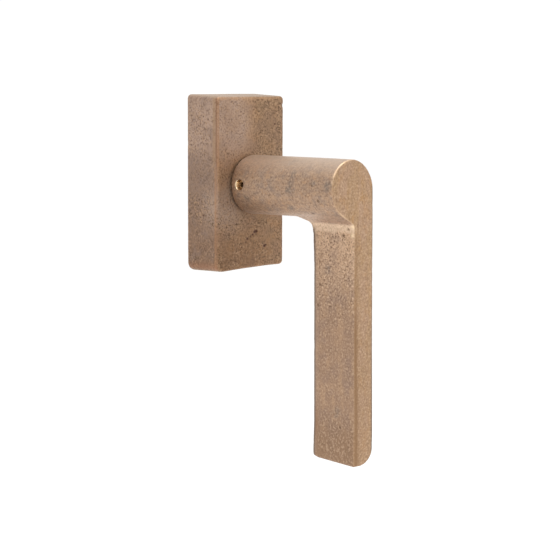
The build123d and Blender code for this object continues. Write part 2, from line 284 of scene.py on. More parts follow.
def settle(piece):
    """Fixes a piece's modifiers into its mesh."""
    seen = piece.evaluated_get(bpy.context.evaluated_depsgraph_get())
    mesh = bpy.data.meshes.new_from_object(seen)
    piece.modifiers.clear()
    raw = piece.data
    piece.data = mesh
    bpy.data.meshes.remove(raw)
    mesh.name = piece.name


def work(piece, tool, finish=None, operation="DIFFERENCE"):
    """Cuts a piece with a tool, or adds the tool to it. The worked faces take the finish."""
    if finish:
        tool.data.materials.append(finish.material)
    step = piece.modifiers.new("work", "BOOLEAN")
    step.operation = operation
    step.solver = "EXACT"
    step.material_mode = "TRANSFER"
    step.object = tool
    settle(piece)
    bpy.data.objects.remove(tool)


def hexagon(across_flats, start, end):
    """A hexagon bar along Z, as the tool for a key's socket."""
    angles = np.radians(np.arange(6) * 60)
    corner = across_flats / math.sqrt(3)
    outline = np.c_[corner * np.cos(angles), corner * np.sin(angles)]
    return skinned("key", [np.c_[outline, np.full(6, height)] for height in (start, end)])


def thread_rings(radius, pitch, start, end, point):
    """Rings up a rolled thread along Z, with its ends drawn in by a point's length."""
    turns = np.linspace(0, 1, ring_points, endpoint=False)
    step = pitch / 8
    rings = []
    for height in np.arange(start, end, step):
        crest = np.abs(2 * ((height / pitch - turns) % 1) - 1)
        cut = 0.55 * pitch * np.clip(1.15 * crest - 0.1, 0, 0.9)
        drawn_in = max(0, point - (height - start), point - (end - height))
        rings.append(ring_of(np.minimum(radius - cut, radius - drawn_in), height))
    return rings


def creased(piece, angle=40):
    """Smooths a piece's shading, except across the edges that turn by more than an angle."""
    piece.data.shade_smooth()
    piece.data.set_sharp_from_angle(angle=math.radians(angle))


def finished(piece, finish):
    """Gives a whole piece its finish and its shading."""
    piece.data.materials.clear()
    piece.data.materials.append(finish.material)
    creased(piece)


def fixing_screw(tip):
    """One screw, with its tip at a place in the sash and its head in front of it."""
    head_start = fixing_length - fixing_head_cone
    head_rim = fixing_head_radius - fixing_head_edge
    rings = thread_rings(fixing_radius, fixing_pitch, 0, head_start, fixing_point)
    rings.append(ring_of(fixing_radius, head_start))
    rings.append(ring_of(head_rim, fixing_length - fixing_head_edge))
    rings.append(ring_of(head_rim, fixing_length))
    screw = skinned("fixing_screw", rings)
    work(screw, hexagon(fixing_socket, fixing_length - fixing_socket_depth, 2 * fixing_length))
    screw.data.transform(Matrix.Translation(tip) @ Matrix.Rotation(math.radians(90), 4, "X"))
    return screw


def joined(name, pieces):
    """Several pieces as one."""
    shape = bmesh.new()
    for piece in pieces:
        shape.from_mesh(piece.data)
        bpy.data.objects.remove(piece)
    mesh = bpy.data.meshes.new(name)
    shape.to_mesh(mesh)
    shape.free()
    whole = bpy.data.objects.new(name, mesh)
    bpy.context.scene.collection.objects.link(whole)
    return whole


fixing_tips = [Vector((0, fixing_box[1].y, side * fixing_spacing / 2)) for side in (-1, 1)]
fixing_pair = [fixing_screw(tip) for tip in fixing_tips]
fixing_screws = joined("fixing_screws_threaded", fixing_pair)
finished(fixing_screws, plated_screw)
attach(fixing_screws, "base")
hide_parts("fixing_screws")

# Rose cover. A deep box cast in bronze in a sand mould and left raw: the sand's grain
# and a few gas pits show all over, the edges are dressed by hand and worn golden, and
# a brown skin has come up in clouds. Painted highlights and painted shade lie along its
# top front edge and its front left ridge. Its back is hollow and its bore is turned.
rose_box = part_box("rose_cover")
rose_width = rose_box[1].x - rose_box[0].x
rose_height = rose_box[1].z - rose_box[0].z
rose_depth = -rose_box[0].y
rose_corner = 1.7 * mm
rose_worn_corner = 3.5 * mm
rose_edge = 0.9 * mm
rose_rim = 0.3 * mm
rose_end_draft = 1.2 * mm
rose_side_draft = 0.6 * mm
rose_lean = 0.3 * mm
rose_top_lift = 0.3 * mm
rose_bottom_slope = 0.45 * mm
rose_corner_lift = 0.2 * mm
rose_inside_width = 29.5 * mm
rose_inside_height = 61.0 * mm
rose_front_wall = 3.0 * mm
rose_inside_corner = 2.0 * mm
rose_inside_edge = 1.0 * mm
cavity_back = -5.0 * mm
rose_bore = 8.57 * mm
tongue_slot = Vector((10.6, 2.6, 1.6)) * mm
tongue_slot_start = 2.7 * mm
tongue_slot_corner = 0.1 * mm
cover_screw_radius = 2.03 * mm
cover_screw_depth = 3.4 * mm
rose_voxel = 0.31 * mm
sand_grain = 0.75 * mm
mould_waves = 0.05 * mm
skin_reach = 0.4 * mm
circle_points = 96
overrun = 1.0 * mm


def outline_of(corners):
    """A closed outline from (x, z, radius) corners in order, each rounded by its radius."""
    points = []
    for index, (x, z, radius) in enumerate(corners):
        corner = np.array((x, z))
        before = np.array(corners[index - 1][:2]) - corner
        after = np.array(corners[(index + 1) % len(corners)][:2]) - corner
        before /= np.linalg.norm(before)
        after /= np.linalg.norm(after)
        half = math.acos(np.clip(before @ after, -1, 1)) / 2
        middle = (before + after) / np.linalg.norm(before + after)
        centre = corner + middle * radius / math.sin(half)
        start, end = (corner + way * radius / math.tan(half) - centre for way in (before, after))
        for share in np.linspace(0, 1, 9):
            spoke = start * (1 - share) + end * share
            points.append(centre + spoke * radius / np.linalg.norm(spoke))
    return np.array(points)


def rectangle(width, height, corner, middle=0.0):
    """A rectangle's outline with rounded corners, its middle at a height on the Z axis."""
    ways = ((-1, -1), (1, -1), (1, 1), (-1, 1))
    return outline_of([(x * width / 2, middle + z * height / 2, corner) for x, z in ways])


def edge_steps(end, radius, way):
    """(depth, inset) pairs round an edge, from a block's end on to its sides. The sides
    lie in front of the end where way is 1, and behind it where way is -1."""
    if not radius:
        return [(end, 0.0)]
    turns = np.linspace(0, math.pi / 2, 8)
    return [(end + way * radius * (1 - math.cos(turn)), radius * (1 - math.sin(turn))) for turn in turns]


def prism(name, outline, back, front, back_edge=0.0, front_edge=0.0, draft=(0.0, 0.0)):
    """A block from one depth to another, with rounded edges, and drawn in towards the
    front by a share of its width and of its height."""
    way = np.roll(outline, -1, 0) - np.roll(outline, 1, 0)
    outward = np.c_[way[:, 1], -way[:, 0]] / np.linalg.norm(way, axis=1)[:, None]
    rings = []
    for depth, inset in edge_steps(back, back_edge, 1) + edge_steps(front, front_edge, -1)[::-1]:
        flat = (outline - outward * inset) * (1 - np.array(draft) * (depth - back) / (front - back))
        rings.append(np.c_[flat[:, 0], np.full(len(flat), -depth), flat[:, 1]])
    return skinned(name, rings)


def round_outline(radius):
    """A circle's outline round the neck's axis."""
    return ring_of(np.full(circle_points, radius), 0)[:, :2]


def vectors_of(mesh, what):
    """The places of a mesh's points (co), or their normals (normal), a row for each."""
    flat = np.empty(3 * len(mesh.vertices))
    mesh.vertices.foreach_get(what, flat)
    return flat.reshape(-1, 3)


def evened(values, mesh, times):
    """Values at each point, averaged with the neighbours' a number of times."""
    ends = np.empty(2 * len(mesh.edges), int)
    mesh.edges.foreach_get("vertices", ends)
    first, second = ends.reshape(-1, 2).T
    count = np.bincount(ends, minlength=len(values)) + 1
    for _ in range(times):
        total = values.copy()
        for part in range(values.shape[1]):
            total[:, part] += np.bincount(first, values[second, part], len(values))
            total[:, part] += np.bincount(second, values[first, part], len(values))
        values = total / count[:, None]
    return values


def cloud(points, size, octaves=1, shift=0.0):
    """Random lumps about size across at each point, from about -1 to 1."""
    spread = (points / size + shift).tolist()
    return np.array([noise.fractal(point, 1.0, 2.0, octaves) for point in spread])


def eased(values, low, high):
    """0 below low, 1 above high and a smooth rise between."""
    share = np.clip((values - low) / (high - low), 0, 1)
    return share * share * (3 - 2 * share)


class Casting:
    """A sand casting: its shells fused into one skin, with the marks that its finish reads."""

    def __init__(self, piece, voxel):
        self.piece = piece
        mould = piece.modifiers.new("mould", "REMESH")
        mould.mode = "VOXEL"
        mould.voxel_size = voxel
        settle(piece)
        self.mesh = piece.data
        self.points = evened(vectors_of(self.mesh, "co"), self.mesh, 1)
        self.press()
        proud = ((self.points - evened(self.points, self.mesh, 6)) * self.normals).sum(1)
        self.edge = eased(proud, 0.04 * mm, 0.12 * mm)
        self.marks = {}

    def press(self):
        """Puts the points back into the mesh and reads the normals that they give."""
        self.mesh.vertices.foreach_set("co", self.points.ravel())
        self.mesh.update()
        self.normals = vectors_of(self.mesh, "normal")

    def spot(self, place, radius):
        """How near each point is to a place given in millimetres: 1 there, falling to 0."""
        away = np.linalg.norm(self.points - np.array(place) * mm, axis=1) / (radius * mm)
        return np.exp(-away * away)

    def dent(self, place, radius, drop):
        """Presses a broad hollow into the skin, as a file or a blow leaves it."""
        self.points -= self.normals * (drop * mm * self.spot(place, radius))[:, None]
        self.press()

    def sand(self, grain, pits):
        """Presses in the mould's unevenness, the sand's grain and the gas pits, each a
        (place, radius, depth) in millimetres; a pit of less than no depth is a bead."""
        swell = np.clip(0.5 + 0.5 * cloud(self.points, 18 * mm, 2), 0, 1)
        dents = eased(cloud(self.points, 4.5 * mm, 2, 7.0), 0.1, 0.8)
        hollow = eased(cloud(self.points, 0.85 * mm, 1, 3.0), 0.05, 0.6)
        tooth = cloud(self.points, sand_grain, 1, 5.0)
        depth = mould_waves * swell + grain * (hollow + 0.25 * tooth + 0.3)
        depth += 0.09 * mm * self.edge * dents
        pit = np.zeros(len(self.points))
        for place, radius, drop in pits:
            spot = self.spot(place, radius)
            depth += drop * mm * spot
            pit = np.maximum(pit, spot * (drop > 0))
        self.points -= self.normals * depth[:, None]
        self.press()
        self.marks["hollow"] = hollow
        self.marks["pit"] = eased(pit, 0.15, 0.75)
        wear_and_glint = self.edge * eased(cloud(self.points, 3.0 * mm, 3, 11.0), -0.9, 0.5)
        self.marks["wear_and_glint"] = wear_and_glint * (1 - 0.5 * np.clip(hollow, 0, 1))

    def pour(self, finish):
        """Gives the cast skin its finish, and remembers it before the machining."""
        self.piece.data.materials.append(finish.material)
        self.cast_points = self.points.copy()

    def dress(self):
        """Writes the marks onto the machined mesh, where it is still cast skin, and
        creases its machined edges."""
        tree = kdtree.KDTree(len(self.cast_points))
        for index, point in enumerate(self.cast_points.tolist()):
            tree.insert(point, index)
        tree.balance()
        mesh = self.piece.data
        near = [tree.find(point) for point in vectors_of(mesh, "co").tolist()]
        source = np.array([index for _, index, _ in near])
        on_skin = np.array([gap for _, _, gap in near]) < skin_reach
        for name, values in self.marks.items():
            mark = mesh.attributes.new(name, "FLOAT", "POINT")
            mark.data.foreach_set("value", np.where(on_skin, values[source], 0).astype(np.float32))
        creased(self.piece, angle=50)


half_width = rose_width / 2
half_height = rose_height / 2
rose_outline = outline_of(
    [
        (-half_width, -half_height, rose_worn_corner),
        (half_width, -half_height, rose_corner),
        (half_width, half_height, rose_corner),
        (-half_width, half_height, rose_corner),
    ]
)
rose_pits = [
    ((2.9, -17.0, -19.0), 0.7, 0.34),
    ((2.0, -17.0, -19.2), 0.7, 0.34),
    ((0.9, -17.0, -20.2), 0.5, 0.2),
    ((-0.3, -17.0, -21.0), 0.35, 0.14),
    ((-1.9, -17.0, -21.7), 0.6, 0.26),
    ((-2.8, -17.0, -23.0), 0.4, 0.14),
    ((7.1, -17.0, -25.0), 0.65, 0.34),
    ((7.9, -17.0, -24.7), 0.35, 0.14),
    ((12.8, -17.0, 22.6), 0.45, 0.16),
    ((17.3, -16.8, 29.8), 0.7, 0.34),
    ((-17.75, -9.0, -12.0), 0.45, 0.16),
    ((17.75, -8.0, 10.5), 0.55, 0.22),
    ((17.75, -11.0, -6.0), 0.4, 0.16),
]
rose_draft = (rose_side_draft / half_width, rose_end_draft / half_height)
rose_block = prism("rose_cover_casting", rose_outline, 0, rose_depth, rose_rim, rose_edge, rose_draft)
rose = Casting(rose_block, rose_voxel)
forward = -rose.points[:, 1] / rose_depth
level = rose.points[:, 2] / half_height
sideways = rose.points[:, 0] / half_width
rose.points[:, 0] = np.clip(rose.points[:, 0] + rose_lean * level, -half_width, half_width)
rose.points[:, 2] += rose_top_lift * forward * eased(level, 0, 1)
rose.points[:, 2] += rose_bottom_slope * forward * np.minimum(sideways, 0.5) * eased(-level, 0.3, 1)
rose.points[:, 2] += rose_corner_lift * (1 - 2.5 * forward) * eased(-sideways, 0, 1) * eased(-level, 0.3, 1)
rose.press()
rose.sand(grain=0.05 * mm, pits=rose_pits)
across, _, upward = rose.points.T
far_corner = eased(across, -3 * mm, 9 * mm) * eased(upward, 4 * mm, 17 * mm)
near_corner = eased(-across, -4 * mm, 6 * mm) * eased(upward, 2 * mm, 20 * mm)
patches = 0.5 * cloud(rose.points, 9 * mm, 3, 6.0)
on_side = eased(np.abs(rose.normals[:, 0]), 0.5, 0.9)
coarseness = 0.4 + 0.55 * far_corner + 0.5 * eased(-upward, 0, 14 * mm) - 0.15 * on_side + patches
rose.marks["coarse"] = np.clip(coarseness, 0, 1)
rose.marks["pale"] = np.clip(near_corner * (0.9 + patches), 0, 1)
rose.marks["side"] = on_side
# Faces turned upwards get a paler, greyer tint: a painted reflection of the sky.
rose.marks["top"] = eased(rose.normals[:, 2], 0.5, 0.9)
low_half = eased(-upward, -11 * mm, -3 * mm)
left_side = half_width - forward * rose_side_draft
past_ridge = (across - rose_lean * level + left_side - (1 - forward) * rose_depth) / mm
by_ridge = eased(-across, 12 * mm, 14 * mm) * eased(forward, 0.6, 0.7)
by_ridge *= eased(half_height - np.abs(upward), 0, mm)


def ridge_line(middle, width):
    """A line along the rose's front left ridge: its place from the ridge, in millimetres."""
    return by_ridge * np.exp(-(((past_ridge - middle) / width) ** 2))


# The front left ridge is painted light: a highlight line, a line of painted shade beside it and a paler tan
# band in the upper half. The highlight moves to the other side of the ridge in the lower half.
highlight_below = ridge_line(-1.0, 0.55) * low_half
highlight_above = ridge_line(0.55, 0.5)
rose.marks["rose_ridge_highlight"] = np.where(low_half > 0.5, highlight_below, highlight_above)
rose.marks["rose_ridge_shade"] = ridge_line(0.4 * low_half - 0.45, 0.5) * (1 - 0.6 * low_half)
rose.marks["rose_ridge_lit_band"] = ridge_line(-1.7, 0.9) * (1 - low_half)
rose.marks["wear_and_glint"] *= 0.6 * (1 - eased(by_ridge, 0.1, 0.5))
# A thin painted highlight along the top front edge, laid into the mark of the worn edges.
below_top = (half_height - rose_end_draft - upward) / mm
top_line = np.exp(-(((below_top - 0.5) / 0.6) ** 2)) * eased(forward, 0.94, 0.98)
top_line *= 0.75 + 0.5 * cloud(rose.points, 3 * mm, 2, 9.0)
rose.marks["wear_and_glint"] = np.clip(np.maximum(rose.marks["wear_and_glint"], 0.6 * top_line), 0, 1)
rose.marks["far"] = far_corner
# Painted light beside the neck's foot: a paler, greyer tint that lifts the shade there.
rose.marks["painted_light_by_neck"] = np.clip(1.2 * rose.spot((-13.0, -17.0, -9.0), 8.0), 0, 1)
rose.marks["rust"] = rose.marks["side"] * eased(-upward, 29 * mm, 33 * mm) * (across < 0)

cast_rose = Finish("raw_cast_bronze_rose", metallic=0.75, roughness=0.52)
skin_clouds = cast_rose.clouds(9 * mm, 0.36, 0.66)
dull_clouds = cast_rose.clouds(7 * mm, 0.48, 0.64, shift=0.7)
ochre_clouds = cast_rose.clouds(4 * mm, 0.5, 0.64, shift=1.7)
slaty_clouds = cast_rose.clouds(5 * mm, 0.5, 0.66, shift=3.3)
more_on_side = cast_rose.between(cast_rose.mark("side"), 0.0, 1.0, 0.15, 0.45)
# Painted shade: the skin darkens towards the bottom, less so on the right.
painted_shade_low = cast_rose.between(cast_rose.along("Z"), 0.0, -28 * mm, 0.0, 0.55)
less_on_right = cast_rose.between(cast_rose.along("X"), 2 * mm, 12 * mm, 1.0, 0.35)
brown_skin = cast_rose.tinted(
    cast_rose.mixed(skin_clouds, shade(162, 128, 96), shade(154, 124, 100)),
    (dull_clouds, 0.5, shade(142, 117, 91)),
    (ochre_clouds, 0.5, shade(176, 136, 98)),
    ("side", 0.8, shade(136, 114, 101)),
    ("pale", 1.0, shade(174, 148, 130)),
    ("far", 0.5, shade(138, 112, 88)),
    (painted_shade_low, less_on_right, shade(127, 94, 67)),
    (slaty_clouds, more_on_side, shade(130, 112, 103)),
    # painted light beside the neck's foot
    ("painted_light_by_neck", 0.85, shade(172, 150, 133)),
)
grain_strength = cast_rose.times(
    cast_rose.between(cast_rose.mark("coarse"), 0.0, 1.0, 0.5, 1.2),
    cast_rose.clouds(6 * mm, 0.36, 0.6, 0.35, 1.0, shift=4.1),
)
grainy_skin = cast_rose.speckled(
    brown_skin, sand_grain, grain_strength, shade(90, 68, 52), shade(176, 144, 114), shift=0.2
)
rose_skin = cast_rose.tinted(
    grainy_skin,
    ("hollow", 0.3, shade(100, 74, 54)),
    # real wear on the edges, with painted highlights laid into the same mark
    ("wear_and_glint", 1.0, shade(192, 150, 112)),
    # painted light along the front left ridge: a tan band, a highlight and a shade line
    ("rose_ridge_lit_band", 0.6, shade(160, 128, 96)),
    ("rose_ridge_highlight", 0.6, shade(166, 124, 90)),
    ("rose_ridge_shade", 0.75, shade(134, 96, 68)),
    ("rust", 0.5, shade(152, 106, 78)),
    # painted reflection of the sky on faces turned upwards
    ("top", 0.6, shade(168, 150, 132)),
    ("pit", 0.9, shade(76, 46, 38)),
)
cast_rose.paint(rose_skin)
cast_rose.gloss(cast_rose.between(skin_clouds, 0.0, 1.0, 0.5, 0.62))
cast_rose.relief((cast_rose.lumps(0.45 * mm, 3.0), 0.02 * mm))

turned_bronze = Finish("turned_bronze", metallic=1.0, roughness=0.3)
tool_lines = turned_bronze.lumps(0.15 * mm, 2.0, drawn_out=(25, 1, 25))
turned_bronze.paint(turned_bronze.mixed(tool_lines, shade(222, 192, 152), shade(242, 220, 188)))
turned_bronze.gloss(turned_bronze.between(tool_lines, 0.3, 0.7, 0.22, 0.36))
turned_bronze.relief((tool_lines, 0.008 * mm))

rose.pour(cast_rose)
inside_outline = rectangle(rose_inside_width, rose_inside_height, rose_inside_corner)
inside_front = rose_depth - rose_front_wall
cavity = prism("cavity", inside_outline, cavity_back, inside_front, front_edge=rose_inside_edge)
work(rose.piece, cavity, cast_rose)
bore = prism("bore", round_outline(rose_bore), rose_depth - 2 * rose_front_wall, rose_depth + overrun)
work(rose.piece, bore, turned_bronze)
slot_outline = rectangle(tongue_slot.x, 2 * tongue_slot.z, tongue_slot_corner, rose_inside_height / 2)
slot_tool = prism("slot", slot_outline, tongue_slot_start, tongue_slot_start + tongue_slot.y)
work(rose.piece, slot_tool, cast_rose)
hole_ends = (-half_height - overrun, overrun - rose_inside_height / 2)
screw_hole = skinned("hole", [ring_of(cover_screw_radius, z) for z in hole_ends])
screw_hole.data.transform(Matrix.Translation((0, -cover_screw_depth, 0)))
work(rose.piece, screw_hole, turned_bronze)
rose.dress()
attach(rose.piece, "base")
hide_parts("rose_cover")

# Cover screw. A small steel grub screw in the rose's underside, with a hexagon socket
# below and a point that enters the base plate.
cover_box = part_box("cover_screw")
cover_screw_length = cover_box[1].z - cover_box[0].z
cover_point_radius = 1.25 * mm
cover_point_length = 2.0 * mm
grub_screw_radius = 2.0 * mm
grub_screw_pitch = 0.7 * mm
grub_screw_bevel = 0.3 * mm
grub_point_edge = 0.1 * mm
grub_socket = 2.0 * mm
grub_socket_depth = 2.2 * mm
bright_steel = Finish("polished_screw_steel", metallic=1.0, roughness=0.25)
smear = bright_steel.clouds(1.2 * mm, 0.4, 0.7)
bright_steel.paint(bright_steel.mixed(smear, shade(190, 188, 184), shade(150, 142, 130)))
bright_steel.gloss(bright_steel.between(smear, 0.0, 1.0, 0.2, 0.42))
bright_steel.relief((bright_steel.lumps(0.25 * mm, 2.0), 0.006 * mm))


def grub_screw(name, length, point_radius, point_length):
    """An M4 grub screw along +Z, with its socket at the origin and its point at the top."""
    shank = length - point_length
    rings = thread_rings(grub_screw_radius, grub_screw_pitch, 0, shank, grub_screw_bevel)
    rings.append(ring_of(point_radius, shank))
    rings.append(ring_of(point_radius, length - grub_point_edge))
    rings.append(ring_of(point_radius - grub_point_edge, length))
    screw = skinned(name, rings)
    work(screw, hexagon(grub_socket, -overrun, grub_socket_depth))
    return screw


cover_screw = grub_screw("cover_screw_threaded", cover_screw_length, cover_point_radius, cover_point_length)
cover_screw.data.transform(Matrix.Translation((0, -cover_screw_depth, cover_box[0].z)))
finished(cover_screw, bright_steel)
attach(cover_screw, "base")
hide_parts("cover_screw")

# Neck bush. Black nylon, snapped into the rose's bore: only its thin flange shows, as
# the dark line between the rose and the neck. Slightly sheened, with a fine mould tooth.
nylon = Finish("black_nylon_bush", metallic=0.0, roughness=0.5)
scuff = nylon.clouds(1.5 * mm, 0.5, 0.75, octaves=4.0)
nylon.paint(nylon.mixed(scuff, shade(48, 38, 31), shade(78, 62, 50)))
nylon.gloss(nylon.between(scuff, 0.0, 1.0, 0.42, 0.62))
nylon.relief((nylon.lumps(0.2 * mm, 2.0), 0.008 * mm))
nylon.put_on("neck_bush")

# Spindle, its clip and the disc spring. The square bar is cold-drawn steel, zinc
# plated, with lines along its length; the two rings are blued spring steel.
drawn_bar = Finish("zinc_plated_drawn_bar", metallic=0.95, roughness=0.32)
draw_lines = drawn_bar.lumps(0.14 * mm, 2.0, drawn_out=(1, 40, 1))
bar_bloom = drawn_bar.clouds(5 * mm, 0.42, 0.7, drawn_out=(1, 2, 1))
drawn_bar.paint(drawn_bar.mixed(bar_bloom, shade(172, 177, 184), shade(184, 180, 154)))
drawn_bar.gloss(drawn_bar.between(draw_lines, 0.3, 0.7, 0.26, 0.42))
drawn_bar.relief((draw_lines, 0.008 * mm))
drawn_bar.put_on("spindle")

blued_ring = Finish("blued_ring_steel", metallic=0.95, roughness=0.32)
ring_temper = blued_ring.clouds(3 * mm, 0.4, 0.62, octaves=2.0)
blued_ring.paint(blued_ring.mixed(ring_temper, shade(72, 78, 100), shade(104, 90, 84)))
blued_ring.gloss(blued_ring.clouds(0.4 * mm, 0.3, 0.7, 0.26, 0.4, octaves=2.0))
blued_ring.relief((blued_ring.lumps(0.25 * mm, 2.0), 0.006 * mm))
for ring in ("spindle_clip", "disc_spring"):
    blued_ring.put_on(ring)

# Lever. Neck, web and blade in one raw bronze casting, with machined spigot, socket and grub hole. The
# end face and the blade's front are linished, so smoother and more golden; the neck has faint lines and
# slate-grey stains; the blade's sides keep the sand's grain below a smoother, paler band at the root.
lever_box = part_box("lever")
lever_face = -lever_box[0].y
neck_radius = -lever_box[0].x
blade_length = -lever_box[0].z
blade_thickness = 10.1 * mm
blade_depth = 21.5 * mm
blade_back = lever_face - blade_depth
blade_left = neck_radius - blade_thickness
blade_outer_corner = 6.5 * mm
blade_inner_corner = 1.2 * mm
blade_back_edge = 0.9 * mm
blade_end_slope = 0.72 * mm
blade_heel_lift = 0.4 * mm
face_edge = 0.4 * mm
ridge_round = 0.8 * mm
web_run = 13.0 * mm
web_drop = 6.0 * mm
web_squareness = 0.74
side_fillet = 2.2 * mm
flat_turn = 61.0
flat_out = 0.25 * mm
right_flare = 0.4 * mm
left_flare = 0.4 * mm
back_flare = 0.4 * mm
lever_voxel = 0.36 * mm
neck_end = 17.6 * mm
neck_rim = 0.6 * mm
neck_swell = 0.45 * mm
neck_offset = Vector((0.3, 0, -0.5)) * mm
spigot_radius = 7.0 * mm
spigot_tip = -lever_box[1].y
spigot_edge = 0.3 * mm
socket_side = 7.1 * mm
socket_corner = 0.15 * mm
socket_end = 43.0 * mm
grub_depth = 22.5 * mm
grub_radius = 2.03 * mm
mouth_radius = 2.65 * mm
mouth_offset = 0.3 * mm


def arc(x, z, radius, start, end, count):
    """Points on an arc, seen from the room, with its angles in degrees from +X towards +Z."""
    angles = np.radians(np.linspace(start, end, count))
    return np.c_[x + radius * np.cos(angles), z + radius * np.sin(angles)]


fillet_x = blade_left - side_fillet
flat_angle = math.radians(180 + flat_turn)
fillet_reach = neck_radius + flat_out + side_fillet
fillet_z = (fillet_reach - fillet_x * math.cos(flat_angle)) / math.sin(flat_angle)
left_corner_x = blade_left + blade_inner_corner
left_corner_z = blade_inner_corner - blade_length
right_corner_x = neck_radius - blade_outer_corner
right_corner_z = blade_outer_corner - blade_length
lever_outline = np.concatenate(
    [
        arc(0, 0, neck_radius, 0, 180 + flat_turn, 90),
        arc(fillet_x, fillet_z, side_fillet, flat_turn, 0, 9),
        arc(left_corner_x, left_corner_z, blade_inner_corner, 180, 270, 9),
        arc(right_corner_x, right_corner_z, blade_outer_corner, 270, 360, 24),
    ]
)
lever_slab = prism("slab", lever_outline, blade_back, lever_face, blade_back_edge, face_edge)
neck_foot = neck_radius + neck_swell
neck_taper = (neck_swell / neck_foot, neck_swell / neck_foot)
neck = prism("neck", round_outline(neck_foot), neck_end, lever_face, neck_rim, face_edge, neck_taper)
for vertex in neck.data.vertices:
    vertex.co += neck_offset * (lever_face + vertex.co.y) / (lever_face - neck_end)

web_start = blade_back - web_run
sweep = np.radians(np.linspace(180, 90, 24))
web_profile = [(neck_radius - overrun, web_start)]
web_profile += [
    (
        neck_radius + web_drop * (1 - abs(math.cos(angle)) ** web_squareness),
        web_start + web_run * abs(math.sin(angle)) ** web_squareness,
    )
    for angle in sweep
]
web_profile.append((neck_radius + web_drop, blade_back + overrun))
web_profile.append((neck_radius - overrun, blade_back + overrun))
web = skinned("web", [ring_of(radius, depth) for radius, depth in web_profile], looped=True)
web.data.transform(Matrix.Rotation(math.radians(90), 4, "X"))
web_trim = prism("web_trim", lever_outline, web_start - overrun, blade_back + 2 * overrun)
work(web, web_trim, operation="INTERSECT")

lever = Casting(joined("lever_casting", [lever_slab, neck, web]), lever_voxel)
into_room = -lever.normals[:, 1]
depth_at = -lever.points[:, 1]
height_at = lever.points[:, 2]
end_lift = blade_end_slope * (lever_face - depth_at) / blade_depth
by_back = eased(blade_back + 3 * mm - depth_at, 0, 3 * mm)
end_lift += blade_heel_lift * by_back
lever.points[:, 2] += end_lift * eased(-height_at, 0.6 * blade_length, blade_length)
off_middle = (lever.points[:, 0] - blade_left) / (0.5 * blade_thickness) - 1
lever.points[:, 0] += right_flare * eased(-height_at, 40 * mm, 100 * mm) * np.clip(off_middle, 0, 1)
lever.points[:, 0] -= left_flare * eased(-height_at, 88 * mm, 100 * mm) * np.clip(-off_middle, 0, 1)
by_web = eased(height_at, -30 * mm, -17 * mm) * (height_at < -12 * mm)
lever.points[:, 1] += back_flare * by_back * by_web
rounding = ridge_round * eased(-height_at, 17 * mm, 24 * mm) + 0.1 * mm
to_ridge = np.c_[blade_left + rounding - lever.points[:, 0], depth_at - lever_face + rounding]
reach = np.linalg.norm(to_ridge, axis=1)
cut = (to_ridge > 0).all(1) & (reach > rounding) & (height_at < -17 * mm)
drawn_in = np.where(cut, 1 - rounding / reach, 0)
lever.points[:, 0] += to_ridge[:, 0] * drawn_in
lever.points[:, 1] += to_ridge[:, 1] * drawn_in
lever.press()
lever.dent((8.2, -70.0, 8.2), 7.0, 0.35)
linished = eased(into_room, 0.75, 0.95) * eased(depth_at, lever_face - mm, lever_face - 0.4 * mm)
on_neck = eased(height_at, -14.3 * mm, -13.1 * mm) * (1 - linished)
band_edge = 1.2 * mm * cloud(lever.points, 3 * mm, 2, 2.0)
band_low = -15.7 * mm - 0.06 * (lever_face - depth_at)
band = eased(height_at + band_edge, band_low - 0.8 * mm, band_low + 0.8 * mm)
band *= eased(-height_at, 12.8 * mm, 13.9 * mm) * (1 - linished)
on_blade_side = (1 - on_neck) * (1 - linished) * (1 - band)
lever_pits = [
    ((0.9, -54.1, -27.9), 0.45, 0.14),
    ((0.9, -59.9, -22.1), 0.5, 0.16),
    ((0.9, -54.1, -36.6), 0.55, 0.2),
    ((0.9, -53.1, -44.3), 0.55, 0.22),
    ((0.9, -59.4, -44.4), 0.45, 0.18),
    ((0.9, -64.8, -89.5), 0.6, 0.22),
    ((-6.0, -57.6, -9.2), 0.8, 0.1),
    ((-10.2, -64.4, -4.2), 0.7, 0.1),
    ((-10.9, -61.6, 1.3), 0.5, 0.08),
    ((11.0, -60.0, -42.0), 0.5, 0.2),
    ((11.0, -66.0, -58.5), 0.4, 0.15),
    ((6.0, -50.5, -71.0), 0.5, 0.2),
    ((0.9, -70.4, -14.0), 0.9, -0.2),
    ((0.9, -70.4, -16.9), 0.8, -0.18),
    ((0.9, -69.0, -14.8), 0.5, 0.15),
    ((0.9, -66.4, -17.3), 0.8, 0.12),
]
lever_stains = [
    ((-9.6, -50.8, 5.4), 1.8),
    ((-10.7, -50.6, 2.7), 2.2),
    ((-11.0, -49.6, -0.4), 2.4),
    ((-8.0, -47.8, -7.5), 2.1),
    ((-10.9, -69.6, 1.5), 2.4),
    ((-10.6, -62.5, 2.2), 1.6),
    ((-5.6, -47.0, 9.4), 2.2),
    ((-9.8, -25.5, -4.8), 2.0),
    ((0.9, -58.0, -30.5), 2.0),
    ((0.9, -63.0, -84.0), 2.6),
]
coarse = on_blade_side * (0.3 + 0.7 * eased(height_at, -58 * mm, -32 * mm))
grain_depth = (0.01 + 0.04 * coarse + 0.012 * on_neck + 0.012 * band) * mm
lever.sand(grain=grain_depth, pits=lever_pits)
lever.marks["hollow"] *= 0.1 + 0.7 * np.maximum(coarse, 0.3 * on_neck)
